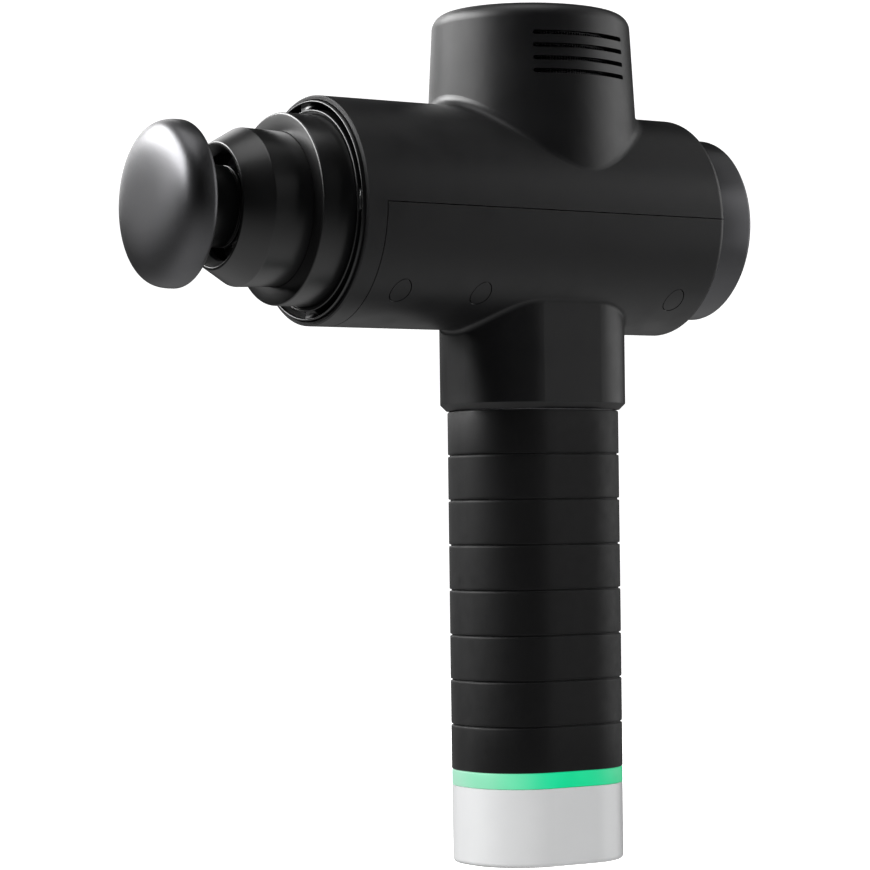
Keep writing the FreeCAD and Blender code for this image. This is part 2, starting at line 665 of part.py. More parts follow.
def stem_o_rings():
    rings = []
    for y in (PISTON_FRONT - 0.05 + 7.0, PISTON_FRONT - 0.05 + 16.0):
        rings.append(Part.makeTorus(STEM_R - 0.57, 0.6, Vector(0, y, AXIS_Z), Vector(0, 1, 0)))
    save("stem_o_rings", *rings)


# ---- Rear end and boards ------------------------------------------------------------------------

def rear_bulkhead():
    y0, y1 = 40.8, BARREL_REAR - END_WALL - 0.1
    body = fused(cyl_y(27.5, y0, y1), cyl_y(HUB_TUBE_R[1], y0, LENS_Y[0] - 0.1))
    body = body.cut(cyl_y(HUB_TUBE_R[0], y0 - 1, DIAL_Y[1]))
    body = body.cut(ring_y(BARREL_R, HUB_TUBE_R[1] - 0.8, 54.55, 55.65))
    for k in range(4):
        body = body.cut(barrel_turned(cyl_y(1.3, y0 - 1, y1 + 1, 24.5), 45 + 90 * k))
    save("rear_bulkhead", body)


def bulkhead_screws():
    screw = fused(cyl_y(1.9, 39.3, 40.8, 24.5), cyl_y(1.1, 40.8, 45.2, 24.5))
    save("bulkhead_screws", *[barrel_turned(screw, 45 + 90 * k) for k in range(4)])


def dial_ring():
    y0, y1 = DIAL_Y
    bore = HUB_TUBE_R[1] + FIT
    body = revolved([(bore, y0), (DIAL_R - 0.4, y0), (DIAL_R, y0 + 0.4), (DIAL_R, y1 - 1.0),
                     (DIAL_R - 1.0, y1), (24.0, y1), (24.0, 54.5), (bore, 54.5)])
    for k in range(4):
        body = body.cut(barrel_turned(cyl_y(1.2 + SNUG, y0 - 1, y0 + 2, 24.2), 45 + 90 * k))
    save("dial_ring", body)


def dial_magnets():
    magnet = cyl_y(1.2, DIAL_Y[0] + 0.1, DIAL_Y[0] + 1.9, 24.2)
    save("dial_magnets", *[barrel_turned(magnet, 45 + 90 * k) for k in range(4)])


def dial_retainer():
    clip = ring_y(23.6, HUB_TUBE_R[1] - 0.75, 54.6, 55.6)
    save("dial_retainer", clip.cut(box(-2, 2, 50, 60, AXIS_Z, AXIS_Z + 40)))


def display_lens():
    y0, y1 = LENS_Y
    save("display_lens", revolved([(0, y0), (LENS_R, y0), (LENS_R, y1 - 0.4), (LENS_R - 0.4, y1), (0, y1)]))


def display_board():
    save("display_board", cyl_y(18.3, 50.0, 51.6))


def status_leds():
    """Ring of small lamps behind the lens."""
    lamp = box(13.2, 15.0, 51.6, 52.4, AXIS_Z - 0.8, AXIS_Z + 0.8)
    save("status_leds", *[barrel_turned(lamp, 30 * k) for k in range(12)])


def main_board():
    save("main_board", box(-16, 16, 10, 38.5, 164, 165.6))


def board_components():
    top = 165.6
    capacitors = [cyl(4.0, top, top + 11, x, 31.0) for x in (-10, 0, 10)]
    chips = [box(x - 2.5, x + 2.5, 20, 25, top, top + 1.6) for x in (-11, -4, 4, 11)]
    plug = [box(-8, 8, 12, 17, top, top + 6)]
    save("board_components", *(capacitors + chips + plug))


def neck_contact_block():
    body = fused(box(-13, 13, -6, 6, 149.7, 161), box(-15, 15, -6, 6, 156.4, 158.4))
    for x in BLADE_XS:
        body = body.cut(box(x - 1.6, x + 1.6, -3.6, 3.6, 149, 157.6))
        body = body.cut(box(x - 0.8, x + 0.8, -0.8, 0.8, 157, 162))
    save("neck_contact_block", body)


def neck_contacts():
    clips = []
    for x in BLADE_XS:
        leaves = [box(x + a, x + a + 0.4, -2.5, 2.5, 150.6, 157.4) for a in (-1.0, 0.6)]
        bridge = box(x - 1.0, x + 1.0, -2.5, 2.5, 157.1, 157.5)
        tail = box(x - 0.5, x + 0.5, -0.5, 0.5, 157.3, 163)
        clips.append(fused(bridge, tail, *leaves))
    save("neck_contacts", *clips)


# ---- Battery handle -----------------------------------------------------------------------------

def battery_tube():
    wall = GRIP_SKIN + 0.02
    outside = handle_block(wall, BASE_SHELF, TUBE_TOP_Z)
    body = outside.cut(handle_block(wall + TUBE_WALL, BASE_SHELF - 1, TUBE_TOP_Z - 2))
    for x, y in BASE_SCREWS:
        body = body.fuse(cyl(2.6, BASE_SHELF, 30.0, x, y))
        web = box(min(x, x * 1.3), max(x, x * 1.3), -1.0, 1.0, BASE_SHELF, 30.0)
        body = body.fuse(web.common(outside))
        body = body.cut(cyl(1.25 + SNUG, BASE_SHELF - 1, 24.0, x, y))
    for x in BLADE_XS:
        body = body.cut(box(x - 0.52, x + 0.52, -3.02, 3.02, TUBE_TOP_Z - 3, TUBE_TOP_Z + 1))
    save("battery_tube", body.removeSplitter())


def grip_sleeve():
    body = handle_block(0, *GRIP_Z)
    core = handle_block(GROOVE_DEPTH, *GRIP_Z)
    for k in range(1, GROOVE_COUNT + 1):
        z = NECK_BOTTOM - GROOVE_PITCH * k
        band = box(-BIG, BIG, -BIG, BIG, z - GROOVE_WIDTH / 2, z + GROOVE_WIDTH / 2)
        body = body.cut(band.cut(core))
    save("grip_sleeve", body.cut(handle_block(GRIP_SKIN, GRIP_Z[0] - 1, GRIP_Z[1] + 1)))


def light_ring():
    outer = rounded_block(BASE_HALF, GRIP_CORNER, *RING_Z)
    save("light_ring", outer.cut(handle_block(GRIP_SKIN, RING_Z[0] - 1, RING_Z[1] + 1)))


def base_cap():
    body = rounded_block(BASE_HALF, GRIP_CORNER, 0, BASE_TOP)
    body = body.makeFillet(1.2, [e for e in body.Edges if max(v.Z for v in e.Vertexes) < 0.01])
    lower_room = rounded_block(BASE_ROOM_HALF, BASE_ROOM_CORNER, BASE_FLOOR, BASE_SHELF)
    for x, y in BASE_SCREWS:
        lower_room = lower_room.cut(cyl(2.9, 0, 30, x, y))
    body = body.cut(handle_block(GRIP_SKIN, BASE_SHELF - 0.05, 30)).cut(lower_room)
    for x, y in BASE_SCREWS:
        body = body.cut(cyl(1.4, -1, 20, x, y)).cut(cyl(2.6, -1, 1.8, x, y))
    body = body.cut(box(-6.7, 6.7, SWITCH_Y - 4.7, SWITCH_Y + 4.7, -1, 5))
    body = body.cut(cyl(4.3, -1, 5, 0, JACK_Y))
    save("base_cap", body.removeSplitter())


def base_screws():
    screws = []
    for x, y in BASE_SCREWS:
        screw = fused(cyl(2.4, 0.3, 1.8, x, y), cyl(1.25, 1.8, 23.0, x, y))
        screws.append(screw.cut(cyl(1.0, 0, 1.2, x, y)))
    save("base_screws", *screws)


def battery_cells():
    cells = []
    for z in CELL_BOTTOMS:
        for y in CELL_YS:
            can = cyl(CELL_R, z, z + CELL_LENGTH, 0, y)
            cells.append(can.makeFillet(0.8, can.Edges[:1] + can.Edges[2:]))
    save("battery_cells", *cells)


def cell_insulators():
    """Oblong sheets below, between and above the two layers of cells."""
    low, high = CELL_BOTTOMS
    spans = [(low - 1.2, low - STRIP), (low + CELL_LENGTH + STRIP, high - STRIP),
             (high + CELL_LENGTH + STRIP, high + CELL_LENGTH + 1.2)]
    sheets = [handle_block(GRIP_SKIN + TUBE_WALL + 0.2, z0, z1) for z0, z1 in spans]
    sheets[0] = handle_block(4.2, *spans[0])
    for x, y in BASE_SCREWS:
        sheets[0] = sheets[0].cut(cyl(3.0, 0, 30, x, y))
    save("cell_insulators", *sheets)


def nickel_strips():
    """Flat links welded across the ends of the cells."""
    ends = [end for z in CELL_BOTTOMS for end in (z - STRIP, z + CELL_LENGTH)]
    reach = CELL_YS[1] + 4.0
    save("nickel_strips", *[box(-3.0, 3.0, -reach, reach, end, end + STRIP) for end in ends])


def battery_board():
    board = rounded_block((15.2, 20.3), 13.1, 9.4, 10.8)
    for x, y in BASE_SCREWS:
        board = board.cut(cyl(3.1, 0, 30, x, y))
    save("battery_board", board)


def battery_contacts():
    save("battery_contacts", *[box(x - 0.5, x + 0.5, -3, 3, TUBE_TOP_Z - 2, 156.0) for x in BLADE_XS])


def switch_housing():
    body = box(-6.6, 6.6, SWITCH_Y - 4.6, SWITCH_Y + 4.6, 0.6, 9.3)
    body = body.cut(box(-5.6, 5.6, SWITCH_Y - 3.3, SWITCH_Y + 3.3, 0, 8.2))
    save("switch_housing", body.cut(cyl_y(1.0 + FIT, SWITCH_Y - 4.3, SWITCH_Y + 4.3, 0, ROCKER_Z)))


def power_rocker():
    """Rocker with two sloping faces, tipped to its off side at rest."""
    half, low, middle, high = 5.0, -3.0, -2.2, 1.6
    outline = [(-half, low), (0, middle), (half, low), (half, high - 1.2), (2.0, high), (-2.0, high),
               (-half, high - 1.2)]
    corners = [Vector(x, SWITCH_Y - 3.2, ROCKER_Z + z) for x, z in outline]
    paddle = Part.Face(Part.makePolygon(corners + corners[:1])).extrude(Vector(0, 6.4, 0))
    body = fused(paddle, cyl_y(1.0, SWITCH_Y - 4.2, SWITCH_Y + 4.2, 0, ROCKER_Z))
    body.rotate(Vector(0, SWITCH_Y, ROCKER_Z), Vector(0, 1, 0), -ROCKER_TILT)
    save("power_rocker", body)


def charge_jack():
    body = cyl(4.2, 0.5, 9.3, 0, JACK_Y)
    save("charge_jack", body.cut(cyl(2.9, 0, 8.0, 0, JACK_Y)).cut(cyl(0.8 + SNUG, 7, 10, 0, JACK_Y)))


def jack_pin():
    pin = cyl(1.05, 1.6, 7.9, 0, JACK_Y)
    pin = pin.makeChamfer(0.3, edges_where(pin, lambda p: abs(p.z - 1.6) < 0.01))
    save("jack_pin", fused(pin, cyl(0.8, 7.9, 9.3, 0, JACK_Y)))


# ---- Build --------------------------------------------------------------------------------------

os.makedirs("parts", exist_ok=True)

for build in (upper_housing, lower_housing, housing_screws, screw_plugs, vent_mesh,
              front_vent_ring, nose_collar, nose_cone, bearing_carrier, guide_bushes, wiper_seal,
              motor_plate, motor_screws, motor_bearings, stator_core, stator_windings,
              motor_shaft, rotor_can, rotor_magnets, cooling_fan, crank_disc, counterweight, crank_pin,
              connecting_rod, big_end_bearing, small_end_bush, wrist_pin, piston, socket_liner,
              massage_head, head_hub, head_stem, stem_o_rings,
              rear_bulkhead, bulkhead_screws, dial_ring, dial_magnets, dial_retainer,
              display_lens, display_board, status_leds, main_board, board_components,
              neck_contact_block, neck_contacts,
              battery_tube, grip_sleeve, light_ring, base_cap, base_screws, battery_cells,
              cell_insulators, nickel_strips, battery_board, battery_contacts,
              switch_housing, power_rocker, charge_jack, jack_pin):
    build()
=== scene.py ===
import json
import math

import bmesh
import bpy
from mathutils import Matrix, Vector


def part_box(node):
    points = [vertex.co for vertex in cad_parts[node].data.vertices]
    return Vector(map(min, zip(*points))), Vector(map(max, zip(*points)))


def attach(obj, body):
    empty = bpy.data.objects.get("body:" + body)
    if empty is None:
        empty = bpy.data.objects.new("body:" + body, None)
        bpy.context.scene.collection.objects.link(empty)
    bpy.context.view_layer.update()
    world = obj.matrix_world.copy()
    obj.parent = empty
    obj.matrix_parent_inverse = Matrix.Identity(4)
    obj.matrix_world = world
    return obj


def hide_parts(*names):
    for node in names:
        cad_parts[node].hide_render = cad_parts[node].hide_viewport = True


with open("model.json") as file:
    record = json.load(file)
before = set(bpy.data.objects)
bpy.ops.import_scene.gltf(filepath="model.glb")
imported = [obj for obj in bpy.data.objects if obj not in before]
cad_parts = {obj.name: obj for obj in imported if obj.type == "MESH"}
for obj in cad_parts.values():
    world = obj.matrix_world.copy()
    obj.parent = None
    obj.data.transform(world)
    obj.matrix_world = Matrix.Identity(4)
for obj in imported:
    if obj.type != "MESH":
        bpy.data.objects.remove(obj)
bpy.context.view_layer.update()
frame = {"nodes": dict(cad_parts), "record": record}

# The looks of a cordless massage gun. Metres, in the model's own frame: +Z up, nose to -Y, the handle's
# axis at X = Y = 0 and the base's bottom at Z = 0.

MM = 0.001
FLOOR_DROP = 0.042         # clears the battery when it is pulled out of the neck

# ---- Places, read from the frame ----------------------------------------------------------------

DIAL_LOW, DIAL_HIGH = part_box("dial_ring")
AXIS_Z = (DIAL_LOW[2] + DIAL_HIGH[2]) / 2
GRIP_LOW, GRIP_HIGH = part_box("grip_sleeve")
GRIP_CORNER = 17.0         # corner radius of the handle's oblong section, in millimetres
RING_LOW, RING_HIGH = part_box("light_ring")
HEAD_LOW, HEAD_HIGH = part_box("massage_head")
HUB_LOW, HUB_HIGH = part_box("head_hub")
CONE_LOW, CONE_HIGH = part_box("nose_cone")
COLLAR_LOW, COLLAR_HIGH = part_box("nose_collar")
VENT_LOW, VENT_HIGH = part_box("front_vent_ring")

# ---- Mesh helpers -------------------------------------------------------------------------------


def add_object(name, mesh, material, body, replaces=None):
    """Shows a finished mesh as one piece on a CAD body."""
    piece = bpy.data.objects.new(name, mesh)
    bpy.context.collection.objects.link(piece)
    mesh.materials.append(material)
    for polygon in mesh.polygons:
        polygon.use_smooth = True
    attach(piece, body)
    if replaces:
        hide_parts(replaces)
    return piece


def mesh_from(name, points, faces, weld=0.0):
    """Mesh with its faces turned outwards. Points closer than weld become one."""
    mesh = bpy.data.meshes.new(name)
    mesh.from_pydata([tuple(p) for p in points], [], faces)
    bm = bmesh.new()
    bm.from_mesh(mesh)
    if weld:
        bmesh.ops.remove_doubles(bm, verts=bm.verts, dist=weld)
    bmesh.ops.recalc_face_normals(bm, faces=bm.faces)
    bm.to_mesh(mesh)
    bm.free()
    return mesh


def rounded_corner(before, corner, after, radius, steps):
    """Points of an arc that replaces a corner of an outline."""
    to_before = (before - corner).normalized()
    to_after = (after - corner).normalized()
    opening = to_before.angle(to_after)
    if radius <= 0 or opening > math.radians(178):
        return [corner]
    reach = radius / math.tan(opening / 2)
    reach = min(reach, 0.49 * (before - corner).length, 0.49 * (after - corner).length)
    radius = reach * math.tan(opening / 2)
    middle = (to_before + to_after).normalized()
    centre = corner + middle * (radius / math.sin(opening / 2))
    start = corner + to_before * reach - centre
    turn = (math.pi - opening) / steps
    side = 1 if start.cross(corner + to_after * reach - centre) > 0 else -1
    return [centre + Matrix.Rotation(side * turn * k, 2) @ start for k in range(steps + 1)]


def outline(points, steps=4):
    """Closed outline from (u, v, corner radius) points in millimetres."""
    corners = [Vector((u, v)) for u, v, _ in points]
    made = []
    for k, (_, _, radius) in enumerate(points):
        made += rounded_corner(corners[k - 1], corners[k], corners[(k + 1) % len(corners)], radius, steps)
    return made


def outline_open(points, before, after, steps=5):
    """Open outline from (u, v, corner radius) points between two fixed ends."""
    corners = [before] + [Vector((u, v)) for u, v, _ in points] + [after]
    made = []
    for k, (_, _, radius) in enumerate(points):
        made += rounded_corner(corners[k], corners[k + 1], corners[k + 2], radius, steps)
    return made


def about_axis(point, angle):
    """Place of a (radius, y) point in millimetres at an angle about the barrel's axis."""
    radius = point.x * MM
    return (radius * math.cos(angle), point.y * MM, AXIS_Z + radius * math.sin(angle))


def lathe(name, profile, segments=180):
    """Closed ring about the barrel's axis from a loop of (radius, y) points in millimetres."""
    points, faces = [], []
    count = len(profile)
    for s in range(segments):
        angle = 2 * math.pi * s / segments
        points += [about_axis(p, angle) for p in profile]
    for s in range(segments):
        a, b = s * count, (s + 1) % segments * count
        for k in range(count):
            n = (k + 1) % count
            faces.append((a + k, a + n, b + n, b + k))
    return mesh_from(name, points, faces)


def turned_solid(name, profile, segments=180):
    """Solid about the barrel's axis. The profile starts and ends on the axis."""
    points = [(0, profile[0].y * MM, AXIS_Z), (0, profile[-1].y * MM, AXIS_Z)]
    inner = profile[1:-1]
    count = len(inner)
    faces = []
    for s in range(segments):
        angle = 2 * math.pi * s / segments
        points += [about_axis(p, angle) for p in inner]
    for s in range(segments):
        a, b = 2 + s * count, 2 + (s + 1) % segments * count
        faces.append((0, a, b))
        faces.append((1, b + count - 1, a + count - 1))
        for k in range(count - 1):
            faces.append((a + k, a + k + 1, b + k + 1, b + k))
    return mesh_from(name, points, faces)


def block_outline(half_x, half_y, corner, arc_steps=16, side_steps=6):
    """Oblong with round corners, counter-clockwise from the +X side, in the units given."""
    points = []
    sides = ((half_x, half_y - corner), (half_y, half_x - corner)) * 2
    for turn, (highlight_fade, along) in enumerate(sides):
        spin = Matrix.Rotation(turn * math.pi / 2, 2)
        for k in range(side_steps):
            points.append(spin @ Vector((highlight_fade, along * (2 * k / side_steps - 1))))
        for k in range(arc_steps):
            angle = math.pi / 2 * k / arc_steps
            round_x = highlight_fade - corner + corner * math.cos(angle)
            points.append(spin @ Vector((round_x, along + corner * math.sin(angle))))
    return points


def handle_loft(name, half, stations):
    """Closed sleeve about the handle's axis from a loop of (z, inset) in millimetres."""
    points, faces = [], []
    loops = [block_outline(half[0] - inset, half[1] - inset, GRIP_CORNER - inset) for _, inset in stations]
    count = len(loops[0])
    for (z, _), loop in zip(stations, loops):
        points += [(p.x * MM, p.y * MM, z * MM) for p in loop]
    for s in range(len(stations)):
        a, b = s * count, (s + 1) % len(stations) * count
        for k in range(count):
            n = (k + 1) % count
            faces.append((a + k, a + n, b + n, b + k))
    return mesh_from(name, points, faces)


# ---- Material helpers ---------------------------------------------------------------------------


class Nodes:
    """Short way to build one material's node tree around a Principled shader."""

    def __init__(self, name):
        self.material = bpy.data.materials.new(name)
        self.material.use_nodes = True
        self.tree = self.material.node_tree
        self.shader = self.tree.nodes["Principled BSDF"]
        self.place = self.add("ShaderNodeTexCoord").outputs["Object"]

    def add(self, kind, **settings):
        node = self.tree.nodes.new(kind)
        for key, value in settings.items():
            setattr(node, key, value)
        return node

    def link(self, source, target):
        self.tree.links.new(source, target)

    def noise(self, scale, detail=3.0, roughness=0.5):
        node = self.add("ShaderNodeTexNoise")
        node.inputs["Scale"].default_value = scale
        node.inputs["Detail"].default_value = detail
        node.inputs["Roughness"].default_value = roughness
        self.link(self.place, node.inputs["Vector"])
        return node.outputs["Fac"]

    def cells(self, scale, feature="F1"):
        node = self.add("ShaderNodeTexVoronoi", feature=feature)
        node.inputs["Scale"].default_value = scale
        self.link(self.place, node.inputs["Vector"])
        return node.outputs["Distance"]

    def span(self, value, low, high, from_low=0.3, from_high=0.7):
        """Maps a noise value to a range of numbers."""
        node = self.add("ShaderNodeMapRange")
        node.inputs["From Min"].default_value = from_low
        node.inputs["From Max"].default_value = from_high
        node.inputs["To Min"].default_value = low
        node.inputs["To Max"].default_value = high
        self.link(value, node.inputs["Value"])
        return node.outputs["Result"]

    def blend(self, value, dark, light):
        """Mixes two colours by a value from 0 to 1."""
        node = self.add("ShaderNodeMix", data_type="RGBA")
        node.inputs["A"].default_value = (*dark, 1)
        node.inputs["B"].default_value = (*light, 1)
        self.link(value, node.inputs["Factor"])
        return node.outputs["Result"]

    def bump(self, height, strength, distance, under=None):
        node = self.add("ShaderNodeBump")
        node.inputs["Strength"].default_value = strength
        node.inputs["Distance"].default_value = distance
        self.link(height, node.inputs["Height"])
        if under is not None:
            self.link(under, node.inputs["Normal"])
        return node.outputs["Normal"]

    def set(self, **values):
        for key, value in values.items():
            self.shader.inputs[key.replace("_", " ")].default_value = value


def scaled(colour, factor):
    """Colour times a factor, with no channel over one."""
    return tuple(min(1.0, c * factor) for c in colour)


def moulded(name, colour, roughness, grain=2600.0, grain_depth=0.02, clouds=0.08, uneven=0.04, **values):
    """Moulded plastic: fine spark-eroded grain, faint clouding and uneven gloss."""
    n = Nodes(name)
    cloud = n.span(n.noise(38.0, 4.0), 0.0, 1.0)
    n.link(n.blend(cloud, scaled(colour, 1 - clouds), scaled(colour, 1 + clouds)),
           n.shader.inputs["Base Color"])
    n.link(n.span(n.noise(120.0, 5.0), roughness - uneven, roughness + uneven), n.shader.inputs["Roughness"])
    wide = n.bump(n.noise(420.0, 2.0), 0.06, 0.0002)
    n.link(n.bump(n.noise(grain, 3.0, 0.6), grain_depth * 10, 0.00004, wide), n.shader.inputs["Normal"])
    n.set(**values)
    return n.material


def soft_touch():
    """Soft-touch coating of the shells: matt, with a faint sheen at grazing angles."""
    return moulded("soft_touch_coating", (0.0014, 0.0014, 0.0016), 0.43, Specular_IOR_Level=0.30)


def nose_plastic():
    """Smoother plastic of the nose parts and the front vent ring."""
    return moulded("nose_plastic", (0.0012, 0.0012, 0.0013), 0.32, grain=3200.0, uneven=0.015,
                   Specular_IOR_Level=0.42)


def silicone():
    """Grip sleeve: dusty matt silicone with a fine stipple."""
    n = Nodes("grip_silicone")
    cloud = n.span(n.noise(55.0, 5.0), 0.0, 1.0)
    n.link(n.blend(cloud, (0.0010, 0.0010, 0.0011), (0.0015, 0.0015, 0.0016)),
           n.shader.inputs["Base Color"])
    n.link(n.span(n.noise(300.0, 3.0), 0.50, 0.60), n.shader.inputs["Roughness"])
    stipple = n.bump(n.cells(2200.0), 0.16, 0.00004)
    n.link(n.bump(n.noise(900.0, 4.0), 0.10, 0.0001, stipple), n.shader.inputs["Normal"])
    n.set(Sheen_Weight=0.03, Sheen_Roughness=0.5, Specular_IOR_Level=0.16)
    return n.material


def satin_metal(name, colour, roughness, flakes=0.5):
    """Bead-blasted, anodised metal with fine bright flecks."""
    n = Nodes(name)
    fleck = n.span(n.noise(5200.0, 2.0, 0.7), 0.0, 1.0, 0.62, 0.78)
    cloud = n.span(n.noise(60.0, 3.0), 0.0, 1.0)
    base = n.blend(cloud, scaled(colour, 0.93), scaled(colour, 1.07))
    mix = n.add("ShaderNodeMix", data_type="RGBA", blend_type="ADD")
    n.link(n.span(fleck, 0.0, flakes, 0.0, 1.0), mix.inputs["Factor"])
    n.link(base, mix.inputs["A"])
    mix.inputs["B"].default_value = (*scaled(colour, 0.9), 1)
    n.link(mix.outputs["Result"], n.shader.inputs["Base Color"])
    n.link(n.span(n.noise(1500.0, 3.0), roughness - 0.02, roughness + 0.02), n.shader.inputs["Roughness"])
    n.link(n.bump(n.noise(4200.0, 2.0, 0.6), 0.20, 0.00003), n.shader.inputs["Normal"])
    n.set(Metallic=1.0)
    return n.material


def turned_metal(name, colour, roughness, metallic=1.0):
    """Machined metal with faint tool lines and small stains."""
    n = Nodes(name)
    lines = n.add("ShaderNodeTexWave", wave_type="RINGS", rings_direction="Z")
    lines.inputs["Scale"].default_value = 700.0
    lines.inputs["Distortion"].default_value = 1.5
    n.link(n.place, lines.inputs["Vector"])
    stain = n.span(n.noise(90.0, 5.0), 0.0, 1.0)
    n.link(n.blend(stain, scaled(colour, 0.85), colour), n.shader.inputs["Base Color"])
    n.link(n.span(n.noise(400.0, 3.0), roughness - 0.06, roughness + 0.08), n.shader.inputs["Roughness"])
    n.link(n.bump(lines.outputs["Fac"], 0.08, 0.00002), n.shader.inputs["Normal"])
    n.set(Metallic=metallic)
    return n.material


def base_silver():
    """Pale satin base: pearl paint over plastic."""
    n = Nodes("base_pearl_paint")
    cloud = n.span(n.noise(45.0, 4.0), 0.0, 1.0)
    fleck = n.span(n.noise(6000.0, 2.0, 0.7), 0.0, 1.0, 0.5, 0.75)
    base = n.blend(cloud, (0.34, 0.343, 0.346), (0.365, 0.367, 0.37))
    mix = n.add("ShaderNodeMix", data_type="RGBA")
    n.link(n.span(fleck, 0.0, 0.18, 0.0, 1.0), mix.inputs["Factor"])
    n.link(base, mix.inputs["A"])
    mix.inputs["B"].default_value = (0.43, 0.43, 0.435, 1)
    n.link(mix.outputs["Result"], n.shader.inputs["Base Color"])
    n.link(n.span(n.noise(500.0, 4.0), 0.34, 0.44), n.shader.inputs["Roughness"])
    n.link(n.bump(n.noise(2600.0, 3.0), 0.12, 0.00003), n.shader.inputs["Normal"])
    n.set(Metallic=0.0, Coat_Weight=0.15, Coat_Roughness=0.3)
    return n.material


def glowing_diffuser():
    """Ring lit from behind. Its glow runs from pale green at the nose side, where a painted highlight of the
    key light falls, to deep green at the rear.
    """
    n = Nodes("glowing_diffuser")
    # The green glow is the ring's own lamp; the paler green towards the nose side is painted highlight from
    # the key light on the left.
    highlight_fade = n.add("ShaderNodeVectorMath", operation="DOT_PRODUCT")
    n.link(n.place, highlight_fade.inputs[0])
    highlight_fade.inputs[1].default_value = (0.53, 0.85, 0.0)      # level direction, towards the rear and +X
    patchy = n.span(n.noise(60.0, 1.0), -0.04, 0.04)
    place = n.add("ShaderNodeMath", operation="ADD")
    n.link(n.span(highlight_fade.outputs["Value"], 0.0, 1.0, -0.024, 0.026), place.inputs[0])
    n.link(patchy, place.inputs[1])
    ramp = n.add("ShaderNodeValToRGB")
    ramp.color_ramp.interpolation = "B_SPLINE"
    stops = [(0.0, (0.47, 0.68, 0.56)), (0.2, (0.26, 0.71, 0.44)), (0.36, (0.09, 0.66, 0.34)),
             (0.5, (0.0, 0.64, 0.28)), (0.66, (0.0, 0.62, 0.24)), (0.82, (0.02, 0.59, 0.26)),
             (1.0, (0.09, 0.50, 0.24))]
    for k, (stop, colour) in enumerate(stops):
        mark = ramp.color_ramp.elements[k] if k < 2 else ramp.color_ramp.elements.new(stop)
        mark.position = stop
        mark.color = (*colour, 1)
    n.link(place.outputs["Value"], ramp.inputs["Fac"])
    n.link(ramp.outputs["Color"], n.shader.inputs["Emission Color"])
    depth = n.span(n.noise(200.0, 3.0), 0.0, 1.0)
    n.link(n.blend(depth, (0.002, 0.05, 0.03), (0.003, 0.07, 0.04)), n.shader.inputs["Base Color"])
    n.link(n.span(n.noise(900.0, 3.0), 0.40, 0.48), n.shader.inputs["Roughness"])
    n.link(n.bump(n.noise(1800.0, 2.0), 0.08, 0.00003), n.shader.inputs["Normal"])
    n.set(Emission_Strength=0.95, Specular_IOR_Level=0.12)
    return n.material


def lens_gloss():
    """Smoked display window."""
    n = Nodes("smoked_lens")
    dust = n.span(n.noise(2400.0, 2.0), 0.0, 1.0, 0.6, 0.8)
    n.link(n.blend(dust, (0.004, 0.004, 0.005), (0.010, 0.010, 0.011)), n.shader.inputs["Base Color"])
    n.link(n.span(n.noise(35.0, 4.0), 0.05, 0.12), n.shader.inputs["Roughness"])
    n.link(n.bump(n.noise(15.0, 1.0), 0.02, 0.001), n.shader.inputs["Normal"])
    n.set(Coat_Weight=0.6, Coat_Roughness=0.03)
    return n.material


def board_mask():
    """Circuit board: green mask over copper tracks."""
    n = Nodes("solder_mask")
    tracks = n.add("ShaderNodeTexBrick")
    tracks.inputs["Scale"].default_value = 260.0
    tracks.inputs["Color1"].default_value = (0.010, 0.085, 0.035, 1)
    tracks.inputs["Color2"].default_value = (0.012, 0.100, 0.042, 1)
    tracks.inputs["Mortar"].default_value = (0.030, 0.170, 0.070, 1)
    n.link(n.place, tracks.inputs["Vector"])
    n.link(tracks.outputs["Color"], n.shader.inputs["Base Color"])
    n.link(n.span(n.noise(300.0), 0.22, 0.34), n.shader.inputs["Roughness"])
    n.link(n.bump(tracks.outputs["Fac"], 0.15, 0.00003), n.shader.inputs["Normal"])
    return n.material


def copper_wire():
    """Enamelled windings, with painted shade as darker copper in the troughs between turns."""
    n = Nodes("enamelled_copper")
    turns = n.add("ShaderNodeTexWave", bands_direction="Z")
    turns.inputs["Scale"].default_value = 420.0
    turns.inputs["Distortion"].default_value = 0.6
    n.link(n.place, turns.inputs["Vector"])
    # Dark copper in the wave's troughs, between the turns, is painted shade.
    n.link(n.blend(turns.outputs["Fac"], (0.30, 0.09, 0.03), (0.78, 0.32, 0.13)),
           n.shader.inputs["Base Color"])
    n.link(n.span(n.noise(500.0), 0.22, 0.34), n.shader.inputs["Roughness"])
    n.link(n.bump(turns.outputs["Fac"], 0.6, 0.0002), n.shader.inputs["Normal"])
    n.set(Metallic=0.9)
    return n.material


